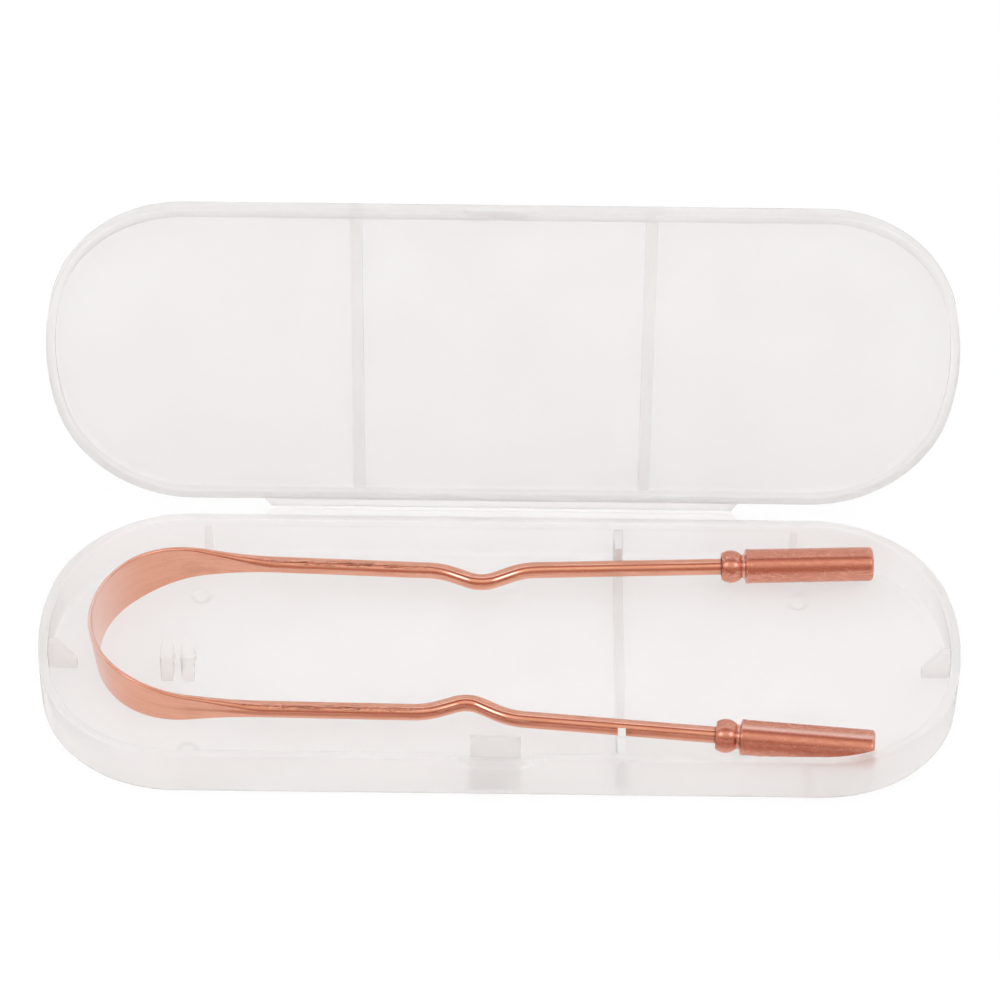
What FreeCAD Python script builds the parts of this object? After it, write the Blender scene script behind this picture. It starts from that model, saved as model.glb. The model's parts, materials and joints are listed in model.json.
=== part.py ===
"""Copper tongue scraper in its clear hinged case, in millimetres.

The case is one moulding on the real thing: a capsule-shaped tray, a lid on a
thin folding hinge, and a springy latch tongue. It is modelled standing open.
The scraper lies inside: one copper rod, hammered into an upright band round
the loop, with a turned copper sleeve on each arm.

Frame: +X along the case, +Y towards the hinge, +Z up. The origin is the
middle of the tray's underside, which the case stands on.
"""
import FreeCAD, Part
import math
import os

Vector = FreeCAD.Vector

# Case outline, shared by the tray and the lid
case_length = 185.0
case_width = 69.0
corner_radius = 28.3
end_radius = 56.0

# Tray
tray_height = 10.5
tray_floor = 1.2
wall = 1.6
rim_width = 1.9
rim_depth = 1.6
tray_edge_round = 1.2
inner_edge_round = 0.8

# Lid
lid_height = 4.0
lid_top = 1.0
lid_edge_round = 1.2
lid_open_angle = 98.75
rim_gap = 0.1

# Folding hinge: two leaves that meet at a fold line
leaf_width = 2.0
leaf_thickness = 0.8
leaf_inset = 14.3
leaf_notch = 1.5
fold_radius = 0.35
fold_clearance = 0.05

# Ribs across the inside of the lid
lid_rib_share = 0.318
lid_rib_width = 2.3
lid_rib_height = 0.8

# Latch tongue at the front, its foot, and the notch that bares it
latch_offset = -0.5
latch_width = 9.8
latch_thickness = 1.2
latch_rim_clearance = 0.4
latch_foot_height = 1.8
latch_crease_height = 11.3
latch_top_height = 13.2
latch_lean = 1.2
notch_width = 14.8
notch_depth = 1.1
thumb_width = 16.8
thumb_drop = 3.8
thumb_depth = 0.4

# Catch bead and thumb relief at the lid's front edge
catch_width = 9.0
catch_height = 0.6
catch_depth = 0.25
relief_depth = 0.3

# Round mould marks in the tray's underside
mark_diameter = 3.8
mark_depth = 0.3
mark_inset_x = 30.3
mark_inset_y = 13.3

# Divider across the tray: a low floor rib and a fin on each long wall
divider_to_handle = 20.5
divider_width = 1.9
floor_rib_height = 0.6
fin_height = 7.6
fin_nub_width = 1.6
fin_nub_length = 2.0
fin_shoulder = 0.4
fin_wall_height = 8.4
front_fin_room = 0.4
back_fin_room = 2.1

# Stiffening ribs on the long walls and a gusset at each end
wall_rib_inset = 2.8
wall_rib_width = 1.6
wall_rib_foot = 1.8
wall_rib_height = 8.4
gusset_width = 1.6
gusset_offset = -0.9
gusset_length = 5.6
gusset_height = 7.0
gusset_tip_height = 1.9
gusset_top_length = 1.8

# Pair of clip fingers on the floor inside the loop
clip_from_loop = 3.75
clip_pitch = 4.1
clip_width = 2.3
clip_front = -4.1
clip_length = 6.8
clip_height = 4.7
clip_barb = 0.4
clip_barb_start = 0.9
clip_barb_length = 3.4
clip_barb_height = 1.9

# Scraper: rod, flattened loop and arms. The rooms are left inside the case's walls.
wire_diameter = 3.3
loop_room = 12.1
tip_room = 9.0
band_height = 10.8
flat_half_length = 15.0
taper_length = 33.0
band_lean = 6.0
arm_toe_in = 0.7
trough_share = 0.537
kink_half_length = 8.3
kink_depth = 4.5
bend_out_room = 11.8
bend_radius = 9.0
trough_radius = 6.0
lower_arm_shift = -1.3
flex_gap = 0.1

# Handle sleeves on the arms' ends
handle_end_room = 14.9
handle_side_room = 6.8
bead_length = 4.2
bead_diameter = 6.7
bead_edge_diameter = 5.4
neck_length = 1.0
neck_diameter = 5.2
sleeve_length = 26.0
sleeve_diameter = 7.0
sleeve_edge_round = 0.8
bore_depth = 14.0
mouth_depth = 0.6
mouth_clearance = 0.35

# Where the scraper lies in the tray
scraper_y = 3.1
scraper_yaw = -1.5
rest_gap = 0.1

# Overrun for cuts, number of loft sections on half the band, smallest flat left in one
cut_over = 1.0
band_steps = 12
section_flat = 0.02

half_length = case_length / 2
half_width = case_width / 2
inner_half_width = half_width - wall
inner_half_length = half_length - wall
corner_centre_y = half_width - corner_radius
corner_reach = math.sqrt((end_radius - corner_radius) ** 2 - corner_centre_y ** 2)
straight_half_length = half_length - end_radius + corner_reach
leaf_root_length = 2 * (straight_half_length - leaf_inset)
fold_length = leaf_root_length - 2 * leaf_notch
fold_y = half_width + leaf_width
fold_z = tray_height + rim_gap / 2

wire_radius = wire_diameter / 2
loop_radius = inner_half_width - loop_room
scraper_x = tip_room + loop_radius - inner_half_length
bend_out_half_gap = inner_half_width - bend_out_room
trough_half_gap = bend_out_half_gap - kink_depth
handle_length = bead_length + neck_length + sleeve_length
handle_end_x = inner_half_length - handle_end_room - scraper_x
handle_end_half_gap = inner_half_width - handle_side_room
trough_x = trough_share * (handle_end_x - handle_length)
bend_in_x = trough_x - kink_half_length
bend_out_x = trough_x + kink_half_length
arm_spread = math.degrees(math.atan2(handle_end_half_gap - bend_out_half_gap,
                                     handle_end_x - bend_out_x))
divider_x = scraper_x + handle_end_x - handle_length - divider_to_handle


def export(node, shapes):
    """Write one STEP file with the node's solid or solids."""
    shape = shapes[0] if len(shapes) == 1 else Part.makeCompound(shapes)
    for solid in shape.Solids:
        assert solid.isValid(), node
    shape.exportStep("parts/" + node + ".step")
    volume = sum(solid.Volume for solid in shape.Solids)
    print(node, "solids", len(shape.Solids), "volume", round(volume, 2))


def box(x0, x1, y0, y1, z0, z1):
    """Block between two corners."""
    return Part.makeBox(x1 - x0, y1 - y0, z1 - z0, Vector(x0, y0, z0))


def prism(points, direction):
    """Solid from a flat polygon pushed along a direction."""
    corners = [Vector(*point) for point in points]
    face = Part.Face(Part.makePolygon(corners + corners[:1]))
    return face.extrude(Vector(*direction))


def outline_face(inset, z):
    """Flat face of the case outline, moved inwards by inset.

    Each end is a wide arc centred on the X axis, joined to the straight sides
    by two corner arcs. All of them meet tangentially.
    """
    end_centre = half_length - end_radius
    joint_angle = math.atan2(corner_centre_y, corner_reach)
    side_angle = math.pi / 2
    wide = end_radius - inset
    tight = corner_radius - inset

    def on_corner(angle, sx, sy):
        x = straight_half_length + tight * math.cos(angle)
        y = corner_centre_y + tight * math.sin(angle)
        return Vector(sx * x, sy * y, z)

    edges = []
    for sx in (1, -1):
        tip = Vector(sx * (end_centre + wide), 0, z)
        edges.append(Part.Arc(on_corner(joint_angle, sx, -1), tip,
                              on_corner(joint_angle, sx, 1)).toShape())
        for sy in (1, -1):
            edges.append(Part.Arc(on_corner(joint_angle, sx, sy),
                                  on_corner((joint_angle + side_angle) / 2, sx, sy),
                                  on_corner(side_angle, sx, sy)).toShape())
    for sy in (1, -1):
        edges.append(Part.LineSegment(on_corner(side_angle, -1, sy),
                                      on_corner(side_angle, 1, sy)).toShape())
    return Part.Face(Part.Wire(Part.__sortEdges__(edges)))


def rounded_block(inset, z0, z1, radius):
    """Case outline as a block whose lower edge is rounded."""
    block = outline_face(inset, z0).extrude(Vector(0, 0, z1 - z0))
    middle = (z0 + z1) / 2
    low = [edge for edge in block.Edges if edge.BoundBox.ZMax < middle]
    return block.makeFillet(radius, low)


def shell(height, floor, edge_round):
    """Open tray: floor, wall and a slightly thicker rim."""
    outside = rounded_block(0, 0, height, edge_round)
    hollow = rounded_block(wall, floor, height - rim_depth, inner_edge_round)
    mouth = outline_face(rim_width, floor + inner_edge_round)
    mouth = mouth.extrude(Vector(0, 0, height - floor + cut_over))
    return outside.cut(hollow).cut(mouth)


def tray_space():
    """Room inside the tray's walls, which trims whatever grows from them."""
    return rounded_block(wall, tray_floor, tray_height - rim_depth, inner_edge_round)


def tray_shell():
    """Tray with a latch notch and a thumb scallop at the front, and four mould marks."""
    tray = shell(tray_height, tray_floor, tray_edge_round)
    for sx in (-1, 1):
        for sy in (-1, 1):
            place = Vector(sx * (half_length - mark_inset_x), sy * (half_width - mark_inset_y), -cut_over)
            tray = tray.cut(Part.makeCylinder(mark_diameter / 2, cut_over + mark_depth, place))
    notch = box(latch_offset - notch_width / 2, latch_offset + notch_width / 2,
                -half_width - cut_over, -half_width + rim_width + cut_over,
                tray_height - notch_depth, tray_height + cut_over)
    radius = ((thumb_width / 2) ** 2 + thumb_drop ** 2) / (2 * thumb_drop)
    centre = Vector(latch_offset, -half_width - cut_over, tray_height - thumb_drop + radius)
    scallop = Part.makeCylinder(radius, thumb_depth + cut_over, centre, Vector(0, 1, 0))
    return [tray.cut(notch).cut(scallop)]


def divider_floor_rib():
    """Low rib across the floor, between the feet of the two fins."""
    return [box(divider_x - divider_width / 2, divider_x + divider_width / 2,
                -fin_gap(-1, front_fin_room), fin_gap(1, back_fin_room),
                tray_floor, tray_floor + floor_rib_height)]


def fin_gap(side, room):
    """Distance from the X axis to a fin's free end, which clears the rod by room."""
    points, handle, along = arm_points(side)
    yaw = math.radians(scraper_yaw)
    lean = yaw + math.atan2(along.y, along.x)
    bend_y = scraper_y + points[3].x * math.sin(yaw) + points[3].y * math.cos(yaw)
    bend_x = scraper_x + points[3].x * math.cos(yaw) - points[3].y * math.sin(yaw)
    rod_y = bend_y + (divider_x - bend_x) * math.tan(lean)
    return side * rod_y + wire_radius / math.cos(lean) + room


def divider_fin(side, room):
    """Upright fin from a long wall to a narrower nub beside the rod.

    side is 1 for the back wall and -1 for the front wall.
    """
    gap = fin_gap(side, room)
    top = tray_floor + fin_height
    behind = gap + fin_nub_length
    left = divider_x - divider_width / 2
    body = prism([(left, side * behind, tray_floor),
                  (left, side * behind, top - fin_shoulder),
                  (left, side * inner_half_width, fin_wall_height),
                  (left, side * inner_half_width, tray_floor)], (divider_width, 0, 0))
    near, far = sorted((side * gap, side * behind))
    nub = box(divider_x - fin_nub_width / 2, divider_x + fin_nub_width / 2,
              near, far, tray_floor, top)
    return [body.fuse(nub).removeSplitter().common(tray_space())]


def wall_ribs():
    """Tapered stiffening ribs low on both long walls."""
    space = tray_space()
    ribs = []
    for sx in (-1, 1):
        for sy in (-1, 1):
            x = sx * (straight_half_length - wall_rib_inset) - wall_rib_width / 2
            y = sy * inner_half_width
            rib = prism([(x, y + sy * cut_over, tray_floor),
                         (x, y - sy * wall_rib_foot, tray_floor),
                         (x, y, wall_rib_height),
                         (x, y + sy * cut_over, wall_rib_height)], (wall_rib_width, 0, 0))
            ribs.append(rib.common(space))
    return ribs


def end_gussets():
    """Upright gusset at the middle of each end wall."""
    space = tray_space()
    gussets = []
    for side in (-1, 1):
        end = side * inner_half_length
        y = gusset_offset - gusset_width / 2
        plate = prism([(end + side * cut_over, y, tray_floor),
                       (end - side * gusset_length, y, tray_floor),
                       (end - side * gusset_length, y, tray_floor + gusset_tip_height),
                       (end - side * gusset_top_length, y, tray_floor + gusset_height),
                       (end + side * cut_over, y, tray_floor + gusset_height)],
                      (0, gusset_width, 0))
        gussets.append(plate.common(space))
    return gussets


def clip_fingers():
    """Two clip fingers, round at the back, each with a barb on its right side."""
    fingers = []
    top = tray_floor + clip_height
    radius = clip_width / 2
    back = clip_front + clip_length - radius
    for side in (-1, 1):
        x = scraper_x - clip_from_loop + side * clip_pitch / 2
        stem = box(x - radius, x + radius, clip_front, back, tray_floor, top)
        round_end = Part.makeCylinder(radius, clip_height, Vector(x, back, tray_floor))
        barb_base = top - clip_barb_height
        barb = prism([(x + radius, clip_front, barb_base),
                      (x + radius + clip_barb, clip_front + clip_barb_start, barb_base),
                      (x + radius, clip_front + clip_barb_length, barb_base)],
                     (0, 0, clip_barb_height))
        fingers.append(stem.fuse([round_end, barb]).removeSplitter())
    return fingers


def turn_about_fold(shape):
    """Copy of a closed lid piece, opened about the fold line."""
    turned = shape.copy()
    turned.rotate(Vector(0, fold_y, fold_z), Vector(-1, 0, 0), lid_open_angle)
    return turned


def close_over_tray(shape):
    """Copy of a piece drawn as a tray, turned over onto the closed tray."""
    turned = shape.copy()
    turned.rotate(Vector(0, 0, 0), Vector(1, 0, 0), math.degrees(math.pi))
    turned.translate(Vector(0, 0, tray_height + rim_gap + lid_height))
    return turned


def lid_shell():
    """Shallow lid with a thumb relief in the front edge of its rim."""
    lid = close_over_tray(shell(lid_height, lid_top, lid_edge_round))
    relief = box(latch_offset - notch_width / 2, latch_offset + notch_width / 2,
                 -half_width - cut_over, -half_width + relief_depth,
                 tray_height, tray_height + rim_gap + rim_depth)
    return [turn_about_fold(lid.cut(relief))]


def lid_ribs():
    """Two low ribs across the inside of the lid."""
    space = rounded_block(wall, lid_top, lid_height, inner_edge_round)
    ribs = []
    for side in (-1, 1):
        x = side * lid_rib_share * half_length
        rib = box(x - lid_rib_width / 2, x + lid_rib_width / 2, -half_width, half_width,
                  lid_top, lid_top + lid_rib_height)
        ribs.append(turn_about_fold(close_over_tray(rib.common(space))))
    return ribs


def lid_catch():
    """Bead inside the lid's front wall, above the latch tongue's crease."""
    z = tray_height + rim_gap + rim_depth
    bead = box(latch_offset - catch_width / 2, latch_offset + catch_width / 2,
               -inner_half_width, -inner_half_width + catch_depth, z, z + catch_height)
    return [turn_about_fold(bead)]


def hinge_leaf(z0, clearance):
    """Thin web from the back wall to the fold line, narrower at the fold."""
    leaf = prism([(-leaf_root_length / 2, half_width, z0), (leaf_root_length / 2, half_width, z0),
                  (fold_length / 2, fold_y, z0), (-fold_length / 2, fold_y, z0)],
                 (0, 0, leaf_thickness))
    fold = Part.makeCylinder(fold_radius + clearance, leaf_root_length,
                             Vector(-leaf_root_length / 2, fold_y, fold_z), Vector(1, 0, 0))
    return leaf.cut(fold)


def hinge_film():
    """Rounded fold line that joins the two leaves."""
    return [Part.makeCylinder(fold_radius, fold_length,
                              Vector(-fold_length / 2, fold_y, fold_z), Vector(1, 0, 0))]


def latch_faces():
    """Outer and inner Y of the latch tongue, and Y of its middle."""
    outer = -half_width + rim_width + latch_rim_clearance
    return outer, outer + latch_thickness, outer + latch_thickness / 2


def latch_span():
    """Left and right X of the latch tongue."""
    return latch_offset - latch_width / 2, latch_offset + latch_width / 2


def latch_pivot(radius):
    """Cylinder about the line that the latch tongue bends on."""
    left = latch_span()[0]
    middle = latch_faces()[2]
    return Part.makeCylinder(radius, latch_width, Vector(left, middle, tray_floor + latch_foot_height),
                             Vector(1, 0, 0))


def latch_foot():
    """Root of the latch tongue, joined to the floor and the front wall."""
    left, right = latch_span()
    outer, inner, middle = latch_faces()
    height = tray_floor + latch_foot_height
    block = box(left, right, outer, inner, tray_floor, height)
    web = box(left, right, -half_width, outer, tray_floor, height - latch_thickness / 2)
    foot = block.fuse([web, latch_pivot(latch_thickness / 2)]).removeSplitter()
    return [foot.common(tray_space())]


def latch_tongue():
    """Springy tongue whose top leans inwards above a crease."""
    left, right = latch_span()
    outer, inner, middle = latch_faces()
    low = tray_floor + latch_foot_height
    profile = [(left, outer, low), (left, outer, latch_crease_height),
               (left, outer + latch_lean, latch_top_height), (left, inner + latch_lean / 2, latch_top_height),
               (left, inner, latch_crease_height), (left, inner, low)]
    tongue = prism(profile, (latch_width, 0, 0))
    return [tongue.cut(latch_pivot(latch_thickness / 2 + fold_clearance))]


def place_scraper(shape):
    """Copy of a scraper piece, moved from the loop's own frame into the tray."""
    placed = shape.copy()
    placed.rotate(Vector(0, 0, 0), Vector(0, 0, 1), scraper_yaw)
    placed.translate(Vector(scraper_x, scraper_y, tray_floor + rest_gap + band_height / 2))
    return placed


def loop_end_length():
    """Length from the loop's tip to where an arm leaves its circle."""
    return loop_radius * (math.pi / 2 + math.radians(arm_toe_in))


def loop_point(length):
    """Point and direction on the loop's upper half, at a length from its tip."""
    toe = math.radians(arm_toe_in)
    on_arc = min(length, loop_end_length())
    angle = on_arc / loop_radius
    point = Vector(-loop_radius * math.cos(angle), loop_radius * math.sin(angle), 0)
    direction = Vector(math.sin(angle), math.cos(angle), 0)
    if length > on_arc:
        direction = Vector(math.cos(toe), -math.sin(toe), 0)
        point = point + direction * (length - on_arc)
    return point, direction


def band_section(length, side):
    """Flattened section of the rod, with rounded edges, as a closed wire.

    The rod keeps its sectional area while it is hammered: a stadium of height
    h and thickness t has the area t h - t^2 (1 - pi / 4).
    """
    share = min(max((abs(length) - flat_half_length) / taper_length, 0), 1)
    share = share * share * (3 - 2 * share)
    height = band_height + (wire_diameter - band_height) * share
    lean = math.radians(band_lean) * (1 - share)
    corner = 1 - math.pi / 4
    area = math.pi * wire_radius ** 2
    thickness = (height - math.sqrt(height ** 2 - 4 * corner * area)) / (2 * corner)
    point, direction = loop_point(abs(length))
    point.y *= side
    direction.y *= side
    outwards = Vector(direction.y * -side, direction.x * side, 0)
    up = Vector(0, 0, math.cos(lean)) + outwards * math.sin(lean)
    across = outwards * math.cos(lean) - Vector(0, 0, math.sin(lean))
    radius = thickness / 2
    straight = max(height / 2 - radius, section_flat)
    slant = radius * math.sqrt(0.5)

    def at(a, b):
        return point + across * a + up * b

    return Part.Wire([
        Part.LineSegment(at(radius, -straight), at(radius, straight)).toShape(),
        Part.Arc(at(radius, straight), at(slant, straight + slant), at(0, straight + radius)).toShape(),
        Part.Arc(at(0, straight + radius), at(-slant, straight + slant), at(-radius, straight)).toShape(),
        Part.LineSegment(at(-radius, straight), at(-radius, -straight)).toShape(),
        Part.Arc(at(-radius, -straight), at(-slant, -straight - slant), at(0, -straight - radius)).toShape(),
        Part.Arc(at(0, -straight - radius), at(slant, -straight - slant), at(radius, -straight)).toShape()])


def flex_point(side):
    """Where an arm leaves the band, in the loop's own frame."""
    point, direction = loop_point(flat_half_length + taper_length)
    point.y *= side
    direction.y *= side
    return point, direction


def flex_cylinder(side, radius):
    """Upright cylinder about the line on which an arm flexes."""
    point = flex_point(side)[0]
    return Part.makeCylinder(radius, 2 * wire_diameter, point - Vector(0, 0, wire_diameter))


def scraping_band():
    """Flattened loop of the rod, with a round knuckle at each end."""
    end = flat_half_length + taper_length
    sections = []
    for step in range(-band_steps, band_steps + 1):
        side = 1 if step >= 0 else -1
        sections.append(band_section(end * step / band_steps, side))
    band = Part.makeLoft(sections, True, False)
    for side in (-1, 1):
        point, direction = flex_point(side)
        stub = Part.makeCylinder(wire_radius, wire_diameter, point, direction)
        band = band.fuse(stub.common(flex_cylinder(side, wire_radius)))
    return [place_scraper(band)]


def rounded_path(points, radii):
    """Wire of straight runs joined by tangent arcs at the inner points."""
    edges = []
    start = points[0]
    for before, corner, after, radius in zip(points, points[1:], points[2:], radii):
        into = (corner - before).normalize()
        out = (after - corner).normalize()
        turn = into.getAngle(out)
        reach = radius * math.tan(turn / 2)
        bisector = (out - into).normalize()
        first = corner - into * reach
        last = corner + out * reach
        middle = corner + bisector * (radius / math.cos(turn / 2) - radius)
        edges.append(Part.LineSegment(start, first).toShape())
        edges.append(Part.Arc(first, middle, last).toShape())
        start = last
    edges.append(Part.LineSegment(start, points[-1]).toShape())
    return Part.Wire(edges)


def arm_points(side):
    """Corners of an arm's path: flex point, two bends, trough, rod end."""
    shift = lower_arm_shift if side < 0 else 0
    start, direction = flex_point(side)
    slope = direction.y / direction.x
    bend_in = bend_in_x + shift
    bend_out = Vector(bend_out_x + shift, side * bend_out_half_gap, 0)
    spread = math.radians(arm_spread)
    along = Vector(math.cos(spread), side * math.sin(spread), 0)
    handle = bend_out + along * ((handle_end_x + shift - bend_out.x) / along.x - handle_length)
    return [start, Vector(bend_in, start.y + slope * (bend_in - start.x), 0),
            Vector(trough_x + shift, side * trough_half_gap, 0), bend_out,
            handle + along * bore_depth], handle, along


def arm_wire(side):
    """Round rod from the band to the bottom of the handle's bore."""
    points, handle, along = arm_points(side)
    path = rounded_path(points, [bend_radius, trough_radius, bend_radius])
    direction = (points[1] - points[0]).normalize()
    profile = Part.Wire(Part.makeCircle(wire_radius, points[0], direction))
    rod = path.makePipeShell([profile], True, False)
    print("rod", side, "length", round(path.Length, 2),
          "volume over section", round(rod.Volume / (math.pi * wire_radius ** 2), 2))
    return [place_scraper(rod.cut(flex_cylinder(side, wire_radius + flex_gap)))]


def handle_sleeve(side):
    """Turned sleeve with a bead and a neck, bored for the rod."""
    points, handle, along = arm_points(side)
    bead = bead_diameter / 2
    bead_edge = bead_edge_diameter / 2
    neck = neck_diameter / 2
    sleeve = sleeve_diameter / 2
    mouth = wire_radius + mouth_clearance
    neck_start = bead_length
    neck_end = neck_start + neck_length
    end = neck_end + sleeve_length
    slant = sleeve_edge_round * (1 - math.sqrt(0.5))

    def at(a, r):
        return Vector(a, r, 0)

    corners = [at(neck_start, bead_edge), at(neck_start, neck), at(neck_end, neck),
               at(neck_end, sleeve - slant), at(neck_end + slant, sleeve),
               at(end - sleeve_edge_round, sleeve)]
    inside = [at(end, sleeve - sleeve_edge_round), at(end, 0), at(bore_depth, 0),
              at(bore_depth, wire_radius), at(mouth_depth, wire_radius), at(mouth_depth, mouth),
              at(0, mouth), at(0, bead_edge)]
    edges = [Part.Arc(inside[-1], at(bead_length / 2, bead), corners[0]).toShape()]
    edges += [Part.LineSegment(a, b).toShape() for a, b in zip(corners, corners[1:])]
    edges.append(Part.Arc(corners[-1], at(end - slant, sleeve - slant), inside[0]).toShape())
    edges += [Part.LineSegment(a, b).toShape() for a, b in zip(inside, inside[1:])]
    face = Part.Face(Part.Wire(edges))
    turned = face.revolve(Vector(0, 0, 0), Vector(1, 0, 0), math.degrees(2 * math.pi))
    turned.rotate(Vector(0, 0, 0), Vector(0, 0, 1), side * arm_spread)
    turned.translate(handle)
    return [place_scraper(turned)]


def print_axes():
    """Print the lines that the lid, the latch and the arms move about."""
    print("loop radius", loop_radius, "at", scraper_x, scraper_y, "spread", round(arm_spread, 3))
    print("kink from", round(bend_in_x, 2), "trough", round(trough_x, 2), "to", round(bend_out_x, 2))
    print("divider", round(divider_x, 2), "gaps", round(fin_gap(-1, front_fin_room), 2),
          round(fin_gap(1, back_fin_room), 2))
    print("lid fold", fold_y, fold_z)
    print("latch bend", latch_offset, latch_faces()[2], tray_floor + latch_foot_height)
    for side in (1, -1):
        marker = place_scraper(Part.Vertex(flex_point(side)[0]))
        print("arm flex", side, round(marker.X, 4), round(marker.Y, 4), round(marker.Z, 4))


os.makedirs("parts", exist_ok=True)
export("tray_shell", tray_shell())
export("divider_floor_rib", divider_floor_rib())
export("front_divider_fin", divider_fin(-1, front_fin_room))
export("back_divider_fin", divider_fin(1, back_fin_room))
export("tray_wall_ribs", wall_ribs())
export("tray_end_gussets", end_gussets())
export("clip_fingers", clip_fingers())
export("tray_hinge_leaf", [hinge_leaf(tray_height - leaf_thickness, 0)])
export("hinge_film", hinge_film())
export("latch_foot", latch_foot())
export("latch_tongue", latch_tongue())
export("lid_shell", lid_shell())
export("lid_ribs", lid_ribs())
export("lid_catch", lid_catch())
export("lid_hinge_leaf", [turn_about_fold(hinge_leaf(tray_height + rim_gap, fold_clearance))])
export("scraping_band", scraping_band())
export("upper_arm_rod", arm_wire(1))
export("lower_arm_rod", arm_wire(-1))
export("upper_handle", handle_sleeve(1))
export("lower_handle", handle_sleeve(-1))
print_axes()
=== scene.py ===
# %% [markdown]
# # A copper tongue scraper in its hinged case
#
# The scraper is one copper rod. Its middle is hammered into an upright band that bends round the loop, and
# each end carries a turned copper sleeve. It lies in a milky plastic case that stands open.
# Everything is drawn in millimetres and meshed in metres.

# %% Load the frame
import json
import math

import bmesh
import bpy
import numpy as np
from mathutils import Matrix, Vector


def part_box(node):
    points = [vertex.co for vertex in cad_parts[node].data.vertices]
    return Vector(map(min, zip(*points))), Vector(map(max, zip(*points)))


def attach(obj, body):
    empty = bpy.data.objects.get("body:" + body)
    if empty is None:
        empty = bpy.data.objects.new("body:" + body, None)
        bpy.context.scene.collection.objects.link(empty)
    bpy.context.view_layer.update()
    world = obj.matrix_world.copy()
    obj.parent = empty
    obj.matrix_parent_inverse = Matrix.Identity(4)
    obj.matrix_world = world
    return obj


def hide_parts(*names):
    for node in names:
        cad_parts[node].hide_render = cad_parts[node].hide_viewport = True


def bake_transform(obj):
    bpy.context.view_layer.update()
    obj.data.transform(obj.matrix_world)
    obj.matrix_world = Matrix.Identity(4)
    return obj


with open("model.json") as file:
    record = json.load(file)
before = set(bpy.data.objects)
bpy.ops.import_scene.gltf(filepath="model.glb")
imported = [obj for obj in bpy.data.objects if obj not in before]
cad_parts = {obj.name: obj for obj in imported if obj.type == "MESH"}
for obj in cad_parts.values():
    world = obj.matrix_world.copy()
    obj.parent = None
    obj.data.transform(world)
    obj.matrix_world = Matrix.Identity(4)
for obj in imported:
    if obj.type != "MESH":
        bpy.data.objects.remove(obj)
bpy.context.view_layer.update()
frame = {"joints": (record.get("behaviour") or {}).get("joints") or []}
MM = 0.001


def node_box(node):
    """Lowest and highest corner of a CAD node in millimetres."""
    low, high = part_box(node)
    return np.array(low) / MM, np.array(high) / MM

# %% [markdown]
# ## The camera
#
# The photograph was taken from close by with a long lens. The place, angles and roll were worked out from the
# case's outline, so the render can be laid over the photograph.

# %% Camera
camera_eye = (1.86, -564.08, 573.35)
camera_azimuth = math.radians(-0.204)
camera_elevation = math.radians(42.998)
camera_roll = math.radians(0.528)
camera_lens = 142.78
camera_clip_start = 0.01


def new_object(name, data):
    """Object put into the scene."""
    piece = bpy.data.objects.new(name, data)
    bpy.context.scene.collection.objects.link(piece)
    return piece


camera_data = bpy.data.cameras.new("camera")
camera_data.lens = camera_lens
camera_data.clip_start = camera_clip_start
camera = new_object("camera", camera_data)
camera.matrix_world = (Matrix.Translation(Vector(camera_eye) * MM)
                       @ Matrix.Rotation(-camera_azimuth, 4, "Z")
                       @ Matrix.Rotation(math.pi / 2 - camera_elevation, 4, "X")
                       @ Matrix.Rotation(camera_roll, 4, "Z"))
bpy.context.scene.camera = camera
bpy.context.scene.view_settings.view_transform = "Standard"

# %% [markdown]
# ## From arrays to meshes
#
# The shells, fingers, rods and sleeves are grids of points, with rows along the shape and columns round it.
# Neighbours are joined into faces with four corners, and points that meet at a seam or a pole are merged, so
# that a piece is closed.

# %% Grid and mesh helpers
merge_distance = 2e-6
least_arc_steps = 5


def smooth_step(share):
    """Soft rise from 0 to 1: share squared times (3 - 2 share), with share held between 0 and 1."""
    share = np.clip(share, 0, 1)
    return share * share * (3 - 2 * share)


def grid_faces(rows, columns):
    """Faces of a grid whose last column joins the first one."""
    row, column = np.meshgrid(np.arange(rows - 1), np.arange(columns), indexing="ij")
    beside = (column + 1) % columns
    corners = [row * columns + column, row * columns + beside,
               (row + 1) * columns + beside, (row + 1) * columns + column]
    return np.stack(corners, axis=-1).reshape(-1, len(corners))


def mesh_piece(name, grid, flow=None, shares=None):
    """Piece from a grid of points, shape (rows, columns, 3), closed round its columns.

    flow is an optional grid of the same shape with the coordinates that a material's streaks follow, and
    shares holds named grids of single numbers that a material mixes by.
    """
    mesh = bpy.data.meshes.new(name)
    mesh.from_pydata((grid.reshape(-1, 3) * MM).tolist(), [], grid_faces(*grid.shape[:2]).tolist())
    if flow is not None:
        attribute = mesh.attributes.new("flow", "FLOAT_VECTOR", "POINT")
        attribute.data.foreach_set("vector", flow.reshape(-1).astype(np.float32))
    for key, share in (shares or {}).items():
        values = np.broadcast_to(share, grid.shape[:2]).reshape(-1)
        mesh.attributes.new(key, "FLOAT", "POINT").data.foreach_set("value", values.astype(np.float32))
    work = bmesh.new()
    work.from_mesh(mesh)
    bmesh.ops.remove_doubles(work, verts=work.verts, dist=merge_distance)
    open_edges = [edge for edge in work.edges if len(edge.link_faces) == 1]
    caps = bmesh.ops.holes_fill(work, edges=open_edges)["faces"] if open_edges else []
    bmesh.ops.recalc_face_normals(work, faces=work.faces)
    for face in work.faces:
        face.smooth = face not in caps
    work.to_mesh(mesh)
    work.free()
    return new_object(name, mesh)


def turned_by(angle, first, second):
    """Two coordinates after a turn by angle from the first one towards the second."""
    return first * np.cos(angle) - second * np.sin(angle), first * np.sin(angle) + second * np.cos(angle)


def raised(plan, z):
    """Grid from rows of flat points and the height of each row."""
    return np.concatenate([plan, np.broadcast_to(z[:, None, None], plan.shape[:2] + (1,))], axis=2)


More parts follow.
